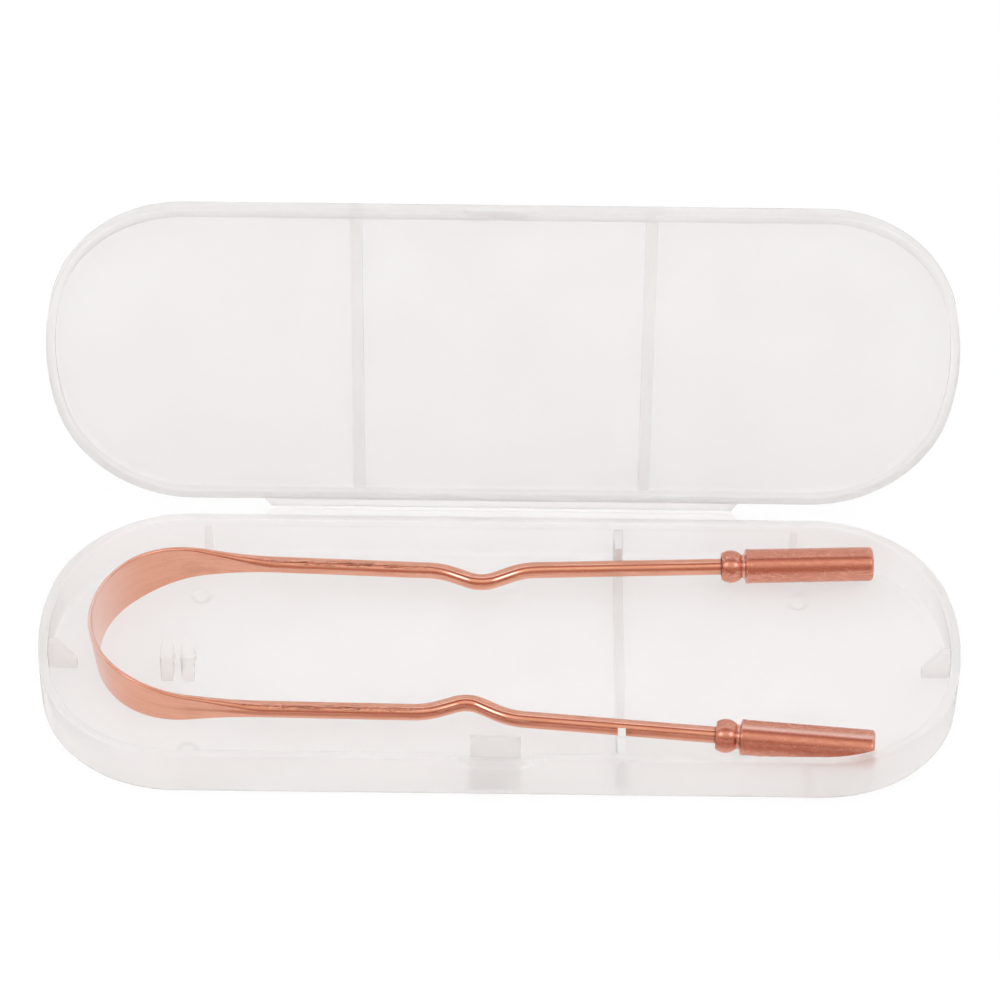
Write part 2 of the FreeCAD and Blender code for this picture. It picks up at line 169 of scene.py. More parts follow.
def straight_run(start, end, step):
    """Points from start up to end, at most step apart."""
    count = max(int(math.ceil(np.linalg.norm(end - start) / step)), 1)
    return start + (end - start) * np.linspace(0, 1, count + 1)[:, None]


def rounded_path(corners, radii, step):
    """Flat path of straight runs joined by tangent arcs at its inner corners.

    An arc starts and ends radius times the tangent of half the turn away from its corner.
    """
    corners = np.array(corners, float)
    parts = []
    start = corners[0]
    for before, corner, after, radius in zip(corners, corners[1:], corners[2:], radii):
        into = (corner - before) / np.linalg.norm(corner - before)
        out = (after - corner) / np.linalg.norm(after - corner)
        turn = math.atan2(into[0] * out[1] - into[1] * out[0], into @ out)
        first = corner - into * radius * math.tan(abs(turn) / 2)
        aside = np.array([-into[1], into[0]]) * math.copysign(radius, turn)
        count = max(int(math.ceil(radius * abs(turn) / step)), least_arc_steps)
        angle = np.linspace(0, turn, count + 1)[:, None]
        arc = first + aside + np.cos(angle) * -aside + np.sin(angle) * np.array([aside[1], -aside[0]])
        parts += [straight_run(start, first, step), arc]
        start = arc[-1]
    parts.append(straight_run(start, corners[-1], step))
    path = np.concatenate(parts)
    apart = np.linalg.norm(np.diff(path, axis=0), axis=1) > merge_distance / MM
    return path[np.concatenate([[True], apart])]


# %% [markdown]
# ## The case's outline
#
# Seen from above, tray and lid share one outline: straight sides, a wide arc at each end and a tighter arc at
# each corner. Every arc meets the next one without a kink, so an inner wall is the same outline moved inwards
# along its normals. The stations along the outline are closer together where small features need them.

# %% Outline of the case
half_length, half_width, tray_height = node_box("tray_shell")[1]
corner_radius = 28.3
end_radius = 56.0
corner_centre_y = half_width - corner_radius
corner_reach = math.sqrt((end_radius - corner_radius) ** 2 - corner_centre_y ** 2)
straight_half_length = half_length - end_radius + corner_reach
joint_angle = math.atan2(corner_centre_y, corner_reach)

side_step = 2.4
end_mark_room = 4.0
corner_steps = 30
end_steps = 18
fine_step = 0.25
mark_x = half_length - 30.3
mark_y = half_width - 13.3
mark_radius = 1.9
mark_room = 0.5
latch_x = -0.5
latch_room = 9.5


def side_stations(fine_ranges):
    """X of the stations along a straight side, closer together inside the fine ranges."""
    coarse = np.linspace(-straight_half_length, straight_half_length,
                         int(2 * straight_half_length / side_step))
    fine = [np.arange(low, high, fine_step) for low, high in fine_ranges]
    for low, high in fine_ranges:
        coarse = coarse[(coarse < low) | (coarse > high)]
    return np.unique(np.concatenate([coarse] + fine).clip(-straight_half_length, straight_half_length))


def case_outline(stations):
    """Points, outward normals and spine points round the outline, anticlockwise from the front left.

    A point on an arc is its centre plus radius times (cos angle, sin angle).
    The spine is the line along the middle of the case that the floor's rows run in to.
    """
    def arc(centre_x, centre_y, radius, start, end, steps):
        angle = np.linspace(start, end, steps + 1)[1:-1] if steps else np.array([])
        direction = np.stack([np.cos(angle), np.sin(angle)], axis=1)
        return np.array([centre_x, centre_y]) + direction * radius, direction

    side = math.pi / 2
    parts = []
    for turn in (1, -1):
        along = stations * turn
        straight = np.stack([np.sort(along) * turn, np.full(len(stations), -half_width * turn)], axis=1)
        parts.append((straight, np.tile([0.0, -turn], (len(stations), 1))))
        x = straight_half_length * turn
        end_x = (half_length - end_radius) * turn
        flip = 0 if turn > 0 else math.pi
        y = corner_centre_y * turn
        parts += [arc(x, -y, corner_radius, flip - side, flip - joint_angle, corner_steps),
                  arc(end_x, 0, end_radius, flip - joint_angle, flip + joint_angle, end_steps),
                  arc(x, y, corner_radius, flip + joint_angle, flip + side, corner_steps)]
    points, normals = (np.concatenate(part) for part in zip(*parts))
    spine = np.stack([points[:, 0].clip(-straight_half_length, straight_half_length),
                      np.zeros(len(points))], axis=1)
    return points, normals, spine


tray_stations = side_stations([(latch_x - latch_room, latch_x + latch_room),
                               (-mark_x - mark_radius - mark_room, -straight_half_length + end_mark_room),
                               (mark_x - mark_radius - mark_room, straight_half_length)])

# %% [markdown]
# ## The shells
#
# Tray and lid are the same kind of moulding, so one function makes both. Their wall section, with its rounded
# foot, its thicker rim and the soft corner inside, is carried round the outline, and the floor's rows
# run from the wall's foot to the spine.

# %% Shell of the tray or lid
wall = 1.6
rim_width = 1.9
rim_depth = 1.6
rim_round = 0.35
ledge_round = 0.12
inner_edge_round = 0.8
foot_inset = 4.0
section_step = 0.45
floor_rows = 14


def case_shell(height, floor, edge_round, stations, fine_shares):
    """Grid of a shell and the inset of each of its points.

    A point of the wall lies inset from the outline along its normal, at the section's height. A point of the
    floor is the spine plus a share of the way to the wall's foot.
    """
    points, normals, spine = case_outline(stations)
    section = rounded_path([(foot_inset, 0), (0, 0), (0, height), (rim_width, height),
                            (rim_width, height - rim_depth), (wall, height - rim_depth),
                            (wall, floor), (foot_inset, floor)],
                           [edge_round, rim_round, rim_round, ledge_round, ledge_round, inner_edge_round],
                           section_step)
    shares = np.unique(np.concatenate([np.linspace(0, 1, floor_rows)] + fine_shares))[:-1]
    ring = points - foot_inset * normals
    flat = spine + (ring - spine) * shares[:, None, None]
    wall_points = points - normals * section[:, 0][:, None, None]
    plan = np.concatenate([flat, wall_points, flat[::-1]])
    z = np.concatenate([np.zeros(len(shares)), section[:, 1], np.full(len(shares), floor)])
    inside = np.full(len(shares), half_width)
    inset = np.concatenate([inside, section[:, 0], inside])
    return raised(plan, z), np.broadcast_to(inset[:, None], plan.shape[:2])


# %% [markdown]
# ## The tray
#
# A notch in the front rim bares the latch tongue, and a shallow scallop under it gives the thumb room. Four
# round mould marks show in the floor. All of them are soft dents in the finished grid.

# %% Tray
tray_floor = 1.2
tray_edge_round = 1.2
notch_width = 14.8
notch_depth = 1.1
notch_soft = 0.35
notch_root = 7.0
thumb_width = 16.8
thumb_drop = 3.8
thumb_depth = 0.4
thumb_soft = 0.35
mark_depth = 0.3
mark_dish_depth = 0.25
mark_dish_back = (-0.1, -1.95)
mark_dish_front = (-0.1, -2.8)
mark_dish_inset = 0.8
# Painted shade: a dark crescent inside each mark on the floor, placed by the next three numbers.
mark_shade_radius = 1.7
mark_shade_width = 0.45
mark_shade_edge = 0.75
mark_rim_width = 0.3
mark_rim_height = 0.06
mark_row_count = 36


def beside_latch(x, half, soft):
    """1 within half of the latch's middle and 0 outside, with soft sides."""
    return smooth_step((half - np.abs(x - latch_x)) / soft + 0.5)


def cut_notch(grid):
    """Lower the front rim at the latch: the wall above notch_root is drawn down in proportion."""
    x, y, z = np.moveaxis(grid, -1, 0)
    share = np.clip((z - notch_root) / (tray_height - rim_round - notch_root), 0, 1)
    z -= notch_depth * share * beside_latch(x, notch_width / 2, notch_soft) * (y < -half_width / 2)


def press_scallop(grid, inset):
    """Push the outer face inwards inside a wide circle that hangs from the rim."""
    x, y, z = np.moveaxis(grid, -1, 0)
    radius = ((thumb_width / 2) ** 2 + thumb_drop ** 2) / (2 * thumb_drop)
    distance = np.hypot(x - latch_x, z - (tray_height - thumb_drop + radius))
    share = smooth_step((radius - distance) / thumb_soft) * np.clip(1 - inset / rim_width, 0, 1)
    y += thumb_depth * share * (y < -half_width / 2)


def stamp_marks(grid):
    """Recess the four marks in the underside. On the floor each is a shallow dish inside a faint ridge.

    The dishes stand nearer to the front and to the middle than the recesses, as the photograph shows. Returns
    how far each point lies in the crescent of painted shade at a dish's inner side, from 0 to 1.
    """
    x, y, z = np.moveaxis(grid, -1, 0)
    below = z < tray_floor / 2
    shift = np.where((y > 0)[..., None], mark_dish_back, mark_dish_front) * ~below[..., None]
    ahead = y - shift[..., 1] - np.sign(y) * mark_y
    distance = np.hypot(np.abs(x - shift[..., 0]) - mark_x + mark_dish_inset * ~below, ahead)
    recess = mark_depth * smooth_step((mark_radius - distance) / fine_step + 0.5)
    dish = mark_dish_depth * np.sqrt(np.clip(1 - (distance / mark_radius) ** 2, 0, 1))
    ridge = mark_rim_height * np.exp(-((distance - mark_radius) / mark_rim_width) ** 2)
    z += np.where(below, recess, ridge - dish)
    # Painted shade: the crescent that the tray's material darkens.
    ring = np.exp(-((distance - mark_shade_radius) / mark_shade_width) ** 2)
    return ring * smooth_step(mark_shade_edge - np.sign(y) * ahead / mark_radius) * ~below


mark_reach = mark_radius + mark_room
mark_rows = np.linspace(mark_y + mark_dish_back[1] - mark_reach, mark_y - mark_dish_front[1] + mark_reach,
                        mark_row_count)
tray_grid, tray_inset = case_shell(tray_height, tray_floor, tray_edge_round, tray_stations,
                                   [mark_rows / (half_width - foot_inset)])
cut_notch(tray_grid)
press_scallop(tray_grid, tray_inset)
tray = mesh_piece("tray", tray_grid, shares={"mark_shade": stamp_marks(tray_grid)})
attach(tray, "tray")
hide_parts("tray_shell")

# %% [markdown]
# ## The lid
#
# The lid is drawn lying on its back like a second, shallower tray. Then it is turned over onto the tray and
# opened about the fold, the way it moves in the real case.

# %% Lid
lid_height = 4.0
lid_top = 1.0
lid_edge_round = 1.2
lid_open_angle = math.radians(98.75)
rim_gap = 0.1
relief_depth = 0.3
fold_y, fold_z = np.array(frame["joints"][0]["pos_m"][1:]) / MM


def press_relief(grid, inset):
    """Set the rim's outer face back a little where the thumb lifts the lid."""
    x, y, z = np.moveaxis(grid, -1, 0)
    share = beside_latch(x, notch_width / 2, notch_soft) * np.clip(1 - inset / rim_width, 0, 1)
    share = share * smooth_step((z - lid_height + rim_depth) / section_step + 0.5)
    y -= relief_depth * share * (y > half_width / 2)


def open_lid(points):
    """Turn points of the lid over onto the tray, then open them about the fold line."""
    y = -points[..., 1] - fold_y
    z = tray_height + rim_gap + lid_height - points[..., 2] - fold_z
    y, z = turned_by(-lid_open_angle, y, z)
    return np.stack([points[..., 0], fold_y + y, fold_z + z], axis=-1)


lid_stations = side_stations([(latch_x - latch_room, latch_x + latch_room)])
lid_grid, lid_inset = case_shell(lid_height, lid_top, lid_edge_round, lid_stations, [])
press_relief(lid_grid, lid_inset)
lid = mesh_piece("lid", open_lid(lid_grid))
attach(lid, "lid")
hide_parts("lid_shell")

# %% [markdown]
# ## Ribs, fins and fingers
#
# Most small features of the case are blocks with soft edges. Each one is a flat outline pushed along an axis.
# Their roots sink a little into the shell, because the real case is all one moulding and no seam shows.
# A Bevel modifier rounds their edges.

# %% Moulded blocks
root_depth = 0.4
block_edge = 0.18
bevel_segments = 3


def moulded_piece(name, body, nodes, blocks, place=None, edge=block_edge):
    """Piece made of blocks, each a pair of its near corners and the vector to the far ones."""
    points, faces = [], []
    for outline, push in blocks:
        first = sum(len(part) for part in points)
        count = len(outline)
        points.append(np.concatenate([outline, outline + push]))
        near = first + np.arange(count)
        beside = first + (np.arange(count) + 1) % count
        faces += [near[::-1].tolist(), (near + count).tolist()]
        faces += np.stack([near, beside, beside + count, near + count], axis=1).tolist()
    points = np.concatenate(points)
    if place is not None:
        points = place(points)
    mesh = bpy.data.meshes.new(name)
    mesh.from_pydata((points * MM).tolist(), [], faces)
    work = bmesh.new()
    work.from_mesh(mesh)
    bmesh.ops.recalc_face_normals(work, faces=work.faces)
    work.to_mesh(mesh)
    work.free()
    mesh.shade_smooth()
    piece = new_object(name, mesh)
    bevel = piece.modifiers.new("soft_edges", "BEVEL")
    bevel.width = edge * MM
    bevel.segments = bevel_segments
    bevel.limit_method = "ANGLE"
    bevel.harden_normals = True
    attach(piece, body)
    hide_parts(*nodes)
    return piece


def block(axis, start, end, outline):
    """Block from start to end along an axis; its outline gives the other two coordinates."""
    return np.insert(np.array(outline, float), axis, start, axis=1), np.eye(3)[axis] * (end - start)


def block_between(low, high):
    """Upright block between two corners."""
    return block(2, low[2], high[2], [low[:2], (high[0], low[1]), high[:2], (low[0], high[1])])


# %% [markdown]
# The divider is a low rib across the floor with a fin on each long wall, which narrows to a nub at the rod.

# %% Divider
fin_nub_width = 1.6
fin_nub_length = 2.0
fin_shoulder = 0.4
fin_wall_height = 8.4
inner_half_width = half_width - wall

rib_low, rib_high = node_box("divider_floor_rib")
rib_low[2] -= root_depth
floor_rib = moulded_piece("divider_floor_rib_moulding", "tray", ["divider_floor_rib"],
                          [block_between(rib_low, rib_high)])
fins = []
for side, name in ((-1, "front_divider_fin"), (1, "back_divider_fin")):
    low, high = node_box(name)
    gap = min(abs(low[1]), abs(high[1]))
    behind = gap + fin_nub_length
    root = inner_half_width + root_depth
    foot = low[2] - root_depth
    body = block(0, low[0], high[0], [(side * behind, foot), (side * behind, high[2] - fin_shoulder),
                                      (side * root, fin_wall_height), (side * root, foot)])
    middle = (low[0] + high[0]) / 2
    near, far = sorted((side * gap, side * (behind + root_depth)))
    nub = block_between((middle - fin_nub_width / 2, near, foot), (middle + fin_nub_width / 2, far, high[2]))
    fins.append(moulded_piece(name + "_moulding", "tray", [name], [body, nub]))

# %% [markdown]
# Tapered ribs stiffen the long walls, and a gusset stands at the middle of each end.

# %% Wall ribs and gussets
wall_rib_x = straight_half_length - 2.8
wall_rib_width = 1.6
wall_rib_foot = 1.8
wall_rib_height = 8.4
gusset_width = 1.6
gusset_y = -0.9
gusset_length = 5.6
gusset_height = 7.0
gusset_tip_height = 1.9
gusset_top_length = 1.8

floor_root = tray_floor - root_depth
ribs = []
for x in (-wall_rib_x, wall_rib_x):
    for side in (-1, 1):
        y = side * inner_half_width
        root, foot = y + side * root_depth, y - side * wall_rib_foot
        ribs.append(block(0, x - wall_rib_width / 2, x + wall_rib_width / 2,
                          [(root, floor_root), (foot, floor_root), (foot, tray_floor),
                           (y, wall_rib_height), (root, wall_rib_height)]))
wall_ribs = moulded_piece("wall_rib_mouldings", "tray", ["tray_wall_ribs"], ribs)

gussets = []
for side in (-1, 1):
    end = side * (half_length - wall)
    root, tip = end + side * root_depth, end - side * gusset_length
    gussets.append(block(1, gusset_y - gusset_width / 2, gusset_y + gusset_width / 2,
                         [(root, floor_root), (tip, floor_root), (tip, tray_floor + gusset_tip_height),
                          (end - side * gusset_top_length, tray_floor + gusset_height),
                          (root, tray_floor + gusset_height)]))
end_gussets = moulded_piece("end_gusset_mouldings", "tray", ["tray_end_gussets"], gussets)

# %% [markdown]
# The two clip fingers held something else that the maker packs in the same case. Each is a short wall with a
# round back end, and a barb grows out of the upper part of its right side.

# %% Clip fingers
clip_low, clip_high = node_box("clip_fingers")
clip_reach = 0.95
clip_length = 6.5
clip_rise = 2.0
clip_pitch = 4.15
clip_width = 2.45
clip_front_round = 0.3
clip_back_length = 3.2
clip_top_round = 0.3
clip_barb = 0.65
clip_barb_start = 1.1
clip_barb_length = 4.4
clip_barb_height = 1.9
clip_barb_soft = 0.6
clip_barb_facing = 0.9
clip_step = 0.15
clip_arch_points = 33
clip_top_points = 6


def clip_finger(left):
    """Grid of a finger: its plan carried up, drawn in at the rounded top, and pushed out at its barb.

    The plan is a rectangle in front and half an ellipse at the back. The finger stands a little nearer to the
    front and higher than its solid.
    """
    middle, half = left + clip_width / 2, clip_width / 2
    front, top = clip_low[1] - clip_reach, clip_high[2] + clip_rise
    back = front + clip_length - clip_back_length
    angle = np.linspace(0, math.pi, clip_arch_points)
    arch = np.stack([middle + half * np.cos(angle), back + clip_back_length * np.sin(angle)], axis=1)
    start = rounded_path([(middle, front), (middle + half, front), (middle + half, back)],
                         [clip_front_round], clip_step)
    end = start[:0:-1] * [-1, 1] + [2 * middle, 0]
    plan = np.concatenate([start[:-1], arch, end[1:]])
    along = np.roll(plan, -1, axis=0) - np.roll(plan, 1, axis=0)
    outwards = np.stack([along[:, 1], -along[:, 0]], axis=1) / np.linalg.norm(along, axis=1)[:, None]
    straight = np.arange(floor_root, top - clip_top_round, clip_step)
    turn = np.linspace(0, math.pi / 2, clip_top_points)
    z = np.concatenate([straight, top - clip_top_round * (1 - np.sin(turn))])
    inset = np.concatenate([np.zeros(len(straight)), clip_top_round * (1 - np.cos(turn))])
    barb = np.interp(plan[:, 1] - front, [0, clip_barb_start, clip_barb_length], [0, clip_barb, 0])
    barb = barb * (outwards[:, 0] > clip_barb_facing)
    rise = smooth_step((z - top + clip_barb_height) / clip_barb_soft + 0.5)
    points = plan - outwards * inset[:, None, None]
    points[..., 0] += rise[:, None] * barb
    return raised(points, z)


clip_fingers = []
for step, name in ((0, "clip_finger_left"), (1, "clip_finger_right")):
    finger = mesh_piece(name, clip_finger(clip_low[0] + step * clip_pitch))
    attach(finger, "tray")
    clip_fingers.append(finger)
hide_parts("clip_fingers")

# %% [markdown]
# The latch tongue grows from a foot at the front wall. It leans inwards up to a crease, stands upright above
# it, and bends on the foot when a thumb presses it.

# %% Latch
latch_thickness = 1.2
latch_crease_height = 10.2
latch_lean = 1.2
latch_edge = 0.29

foot_low, foot_high = node_box("latch_foot")
tongue_low, tongue_high = node_box("latch_tongue")
latch_outer = tongue_low[1]
latch_inner = latch_outer + latch_thickness
foot_left, foot_right, foot_top = foot_low[0], foot_high[0], foot_high[2]
foot_blocks = [block_between((foot_left, latch_outer, floor_root), (foot_right, latch_inner, foot_top)),
               block_between((foot_left, -half_width + wall - root_depth, floor_root),
                             (foot_right, latch_outer + root_depth, foot_top - latch_thickness / 2))]
latch_foot = moulded_piece("latch_foot_moulding", "tray", ["latch_foot"], foot_blocks)
upper_outer, upper_inner = latch_outer + latch_lean, latch_inner + latch_lean / 2
tongue_outline = [(latch_outer, tongue_low[2]), (upper_outer, latch_crease_height),
                  (upper_outer, tongue_high[2]), (upper_inner, tongue_high[2]),
                  (upper_inner, latch_crease_height), (latch_inner, tongue_low[2])]
latch_tongue = moulded_piece("latch_tongue_moulding", "latch", ["latch_tongue"],
                             [block(0, tongue_low[0], tongue_high[0], tongue_outline)], edge=latch_edge)

# %% [markdown]
# The lid carries two low ribs and a small catch bead. They are drawn where the lid is drawn, lying on its
# back, and opened with it.

# %% Ribs and catch of the lid
lid_rib_x = 0.318 * half_length
lid_rib_width = 2.3
lid_rib_height = 0.8
catch_width = 9.0
catch_height = 0.6
catch_depth = 0.25

lid_rib_blocks = [block_between((x - lid_rib_width / 2, -inner_half_width, lid_top - root_depth),
                                (x + lid_rib_width / 2, inner_half_width, lid_top + lid_rib_height))
                  for x in (-lid_rib_x, lid_rib_x)]
lid_ribs = moulded_piece("lid_rib_mouldings", "lid", ["lid_ribs"], lid_rib_blocks, place=open_lid)
catch_top = lid_height - rim_depth
catch = block_between((latch_x - catch_width / 2, inner_half_width - catch_depth, catch_top - catch_height),
                      (latch_x + catch_width / 2, inner_half_width + root_depth, catch_top))
lid_catch = moulded_piece("lid_catch_moulding", "lid", ["lid_catch"], [catch], place=open_lid,
                          edge=catch_depth / 2)

# %% [markdown]
# The hinge is a thin web between tray and lid. It is thinnest along its fold line, where the plastic bends,
# and its ends are cut to a V there.

# %% Hinge
leaf_root_half_length = straight_half_length - 14.3
fold_half_length = leaf_root_half_length - 1.5
leaf_thickness = 0.8
fold_radius = 0.35
fold_gap = 0.03
film_sides = 12


def leaf_block(side, top):
    """Leaf as a block that narrows towards the fold."""
    root, fold = side * (half_width - root_depth), side * (half_width + leaf_reach)
    return block(2, top - leaf_thickness, top,
                 [(-leaf_root_half_length, root), (leaf_root_half_length, root),
                  (fold_half_length, fold), (-fold_half_length, fold)])


leaf_reach = fold_y - half_width - fold_radius - fold_gap
tray_leaf = moulded_piece("tray_hinge_web", "tray", ["tray_hinge_leaf"], [leaf_block(1, tray_height)])
lid_leaf = moulded_piece("lid_hinge_web", "lid", ["lid_hinge_leaf"], [leaf_block(-1, lid_height)],
                         place=open_lid)
film_angle = np.arange(film_sides) / film_sides * 2 * np.pi
film_ring = np.stack([fold_y + fold_radius * np.cos(film_angle),
                      fold_z + fold_radius * np.sin(film_angle)], axis=1)
hinge_fold = moulded_piece("hinge_fold", "tray", ["hinge_film"],
                           [block(0, -fold_half_length, fold_half_length, film_ring)], edge=fold_gap)

# %% [markdown]
# ## The copper rod
#
# One rod makes the loop and both arms. Round the loop it is hammered into a tall thin band. Its section is
# a stadium, two straight sides joined by half circles, and the metal keeps its area while it is flattened, so
# the thickness follows from the height. Each half of the rod is one piece from the tip of the loop into its
# sleeve.

# %% Path and section of the rod
band_low, band_high = node_box("scraping_band")
wire_radius = 1.65
loop_radius = 20.8
loop_centre = np.array([-61.1, 3.1, (band_low[2] + band_high[2]) / 2])
scraper_yaw = math.radians(-1.5)
band_height = 10.8
flat_half_length = 15.0
taper_length = 33.0
band_lean = math.radians(6.0)
arm_toe_in = math.radians(0.7)
bend_in_x = 48.57
trough_x = 56.87
trough_y = 16.6
bend_out_x = 65.17
bend_out_y = 21.1
bend_radius = 14.0
trough_radius = 6.0
handle_end_x = 137.1
handle_end_y = 26.1
lower_arm_shift = -1.3
arm_spread = math.atan2(handle_end_y - bend_out_y, handle_end_x - bend_out_x)
sleeve_full_length = 31.2
rod_in_sleeve = 3.0
rod_step = 0.5
tip_step = 0.02
section_points = 56
least_edge_share = 0.42
least_side_share = 1e-6
seam_length = 62.0
seam_reach = 26.0
seam_turn = math.radians(65)
seam_half_turn = math.radians(32)
# Painted shade, darker and redder, on the near lower side of the lower arm and its sleeve.
lower_shade_turn = math.radians(17)
lower_shade_half_turn = math.radians(31)
polish_reach = 14.0
# How far from the loop's tip the rod is paler.
tip_pale_reach = 22.0
# Painted shade on the rod's end, this far out of the sleeve's mouth.
joint_shade_reach = 0.6
band_wear = 0.35


def rod_path(shift):
    """Flat path of half the rod from its tip into its sleeve, the length along it and the sleeve's start."""
    end_angle = math.pi / 2 + arm_toe_in
    angle = np.concatenate([[0, tip_step / loop_radius],
                            np.arange(rod_step, loop_radius * end_angle, rod_step) / loop_radius,
                            [end_angle]])
    loop = np.stack([-loop_radius * np.cos(angle), loop_radius * np.sin(angle)], axis=1)
    bend_in = bend_in_x + shift
    out = np.array([bend_out_x + shift, bend_out_y])
    along = np.array([math.cos(arm_spread), math.sin(arm_spread)])
    sleeve = out + along * ((handle_end_x + shift - out[0]) / along[0] - sleeve_full_length)
    corners = [loop[-1], (bend_in, loop[-1][1] - math.tan(arm_toe_in) * (bend_in - loop[-1][0])),
               (trough_x + shift, trough_y), out, sleeve + along * rod_in_sleeve]
    arm = rounded_path(corners, [bend_radius, trough_radius, bend_radius], rod_step)
    path = np.concatenate([loop, arm[1:]])
    length = np.concatenate([[0], np.cumsum(np.linalg.norm(np.diff(path, axis=0), axis=1))])
    return path, length, sleeve


def stadium_section(straight, radius):
    """Across and up of the points round a stadium, one row for each pair of straight and radius.

    A point is radius times (cos, sin) of an angle, lifted by the straight half height times a factor that is
    1 on the upper half circle, -1 on the lower one and runs between them on the flat sides.
    """
    edge = np.pi * radius / (np.pi * radius + 2 * straight)
    edge = np.maximum(edge, least_edge_share + (1 - least_edge_share) * edge ** 2)[:, None]
    place = (np.arange(section_points) + 0.5) / section_points * 2 % 1
    half = np.where(np.arange(section_points) * 2 < section_points, 0, 1)
    on_edge = np.clip(place / edge, 0, 1)
    on_side = np.clip((place - edge) / np.maximum(1 - edge, least_side_share), 0, 1)
    angle = np.pi * (on_edge + half)
    factor = (1 - 2 * on_side) * (1 - 2 * half)
    return radius[:, None] * np.cos(angle), radius[:, None] * np.sin(angle) + straight[:, None] * factor


def bump_at(value, middle, reach):
    """Soft hill: 1 at the middle, falling to 0 at reach on both sides."""
    return smooth_step(1 - np.abs(value - middle) / reach)


def rod_half(side, shift):
    """Grid of half the rod, its flow coordinates (length along it, across, up) and its finish shares."""
    path, length = rod_path(shift)[:2]
    share = smooth_step((length - flat_half_length) / taper_length)
    height = band_height + (2 * wire_radius - band_height) * share
    lean = band_lean * (1 - share)
    corner = 1 - math.pi / 4
    area = math.pi * wire_radius ** 2
    thickness = (height - np.sqrt(height ** 2 - 4 * corner * area)) / (2 * corner)
    across, up_by = stadium_section(height / 2 - thickness / 2, thickness / 2)
    direction = np.gradient(path, length, axis=0)
    direction /= np.linalg.norm(direction, axis=1)[:, None]
    outwards = np.stack([-direction[:, 1], direction[:, 0]], axis=1)
    aside, z = turned_by(-lean[:, None], across, up_by)
    plan = path[:, None, :] + outwards[:, None, :] * aside[..., None]
    grid = np.concatenate([plan * [1, side], z[..., None]], axis=2)
    along_grid = np.broadcast_to(length[:, None] * side, across.shape)
    turn = np.arctan2(up_by, -across * side)
    # Painted shade on the near lower side of the lower arm, from the taper on.
    lower_shade = bump_at(turn, lower_shade_turn, lower_shade_half_turn) * share[:, None] * (side < 0)
    seam = bump_at(length, seam_length, seam_reach)[:, None] * bump_at(turn, seam_turn, seam_half_turn)
    # Paler near the loop's tip.
    pale_and_sheen = (1 - smooth_step(length / tip_pale_reach))[:, None]
    polish = bump_at(path[:, 0], trough_x + shift, polish_reach)[:, None]
    # Painted shade on the rod where it goes into the sleeve's mouth.
    joint_shade = smooth_step((length - length[-1] + rod_in_sleeve + joint_shade_reach) / joint_shade_reach)[:, None]
    wear = band_wear + (1 - band_wear) * share[:, None]
    shares = {"wear": wear, "seam": seam, "polish": polish, "pale_and_sheen": pale_and_sheen, "joint_shade": joint_shade,
              "lower_shade": lower_shade}
    return place_scraper(grid), np.stack([along_grid, across, up_by], axis=-1), shares


def place_scraper(points):
    """Turn points of the scraper by its yaw and move them to where it lies in the tray."""
    x, y = turned_by(scraper_yaw, points[..., 0], points[..., 1])
    return np.stack([x, y, points[..., 2]], axis=-1) + loop_centre


# %% [markdown]
# The arms spring when they are squeezed. Each half of the rod is built as one mesh, where it lies at rest.

# %% Both halves of the rod
halves = (("upper_arm", 1, 0.0), ("lower_arm", -1, lower_arm_shift))
arms = []
for name, side, shift in halves:
    grid, flow, shares = rod_half(side, shift)
    arm = mesh_piece(name + "_wire", grid, flow, shares)
    joint = next(joint for joint in frame["joints"] if joint["child"] == name)
    middle = Vector(joint["pos_m"])
    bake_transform(arm)
    arms.append(arm)
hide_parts("scraping_band", "upper_arm_rod")
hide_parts("lower_arm_rod")

# %% [markdown]
# ## The sleeves
#
# A sleeve is turned on a lathe, so it is a profile carried round an axis: a bead, a neck, a lip and a body
# with a rounded end. The mouth that the rod goes into is a shallow recess.

# %% Sleeves
bead_length = 4.2
bead_radius = 3.35
bead_round = 3.12
bead_middle = 1.9
bead_points = 25
neck_length = 0.8
neck_radius = 2.45
neck_slope = 0.35
neck_round = 0.1
neck_fillet = 0.25
sleeve_radius = 3.5
sleeve_edge_round = 0.8
mouth_depth = 0.8
mouth_radius = wire_radius + 0.5
lip_length = 0.9
lip_height = 0.06
lip_round = 0.25
bore_wall_round = 0.1
# Painted highlights on the sleeves: across the neck, and along a line high on the lower sleeve's body.
neck_brightness = 0.5
highlight_line_turn = math.radians(82)
highlight_line_half_turn = math.radians(13)
highlight_line_brightness = 0.55
turn_points = 96
profile_step = 0.3


def sleeve_profile():
    """Distance along the axis and radius of the sleeve's outline, from its bore to the middle of its end."""
    angle = np.linspace(-math.asin(bead_middle / bead_round),
                        math.asin((bead_length - bead_middle) / bead_round), bead_points)
    bead = np.stack([bead_middle + bead_round * np.sin(angle),
                     bead_radius - bead_round + bead_round * np.cos(angle)], axis=1)
    mouth = rounded_path([(mouth_depth, wire_radius - bore_wall_round), (mouth_depth, mouth_radius),
                          (0, mouth_radius), bead[0]], [bore_wall_round, bore_wall_round], profile_step)
    start = bead_length + neck_length
    lip = sleeve_radius + lip_height
    end = sleeve_full_length
    rounds = [neck_round, neck_fillet, lip_round, lip_height / 2, lip_height / 2, sleeve_edge_round]
    body = rounded_path([bead[-1], (bead_length, neck_radius), (start - neck_slope, neck_radius),
                         (start, lip), (start + lip_length, lip), (start + lip_length, sleeve_radius),
                         (end, sleeve_radius), (end, 0)], rounds, profile_step)
    return np.concatenate([mouth, bead[1:-1], body])


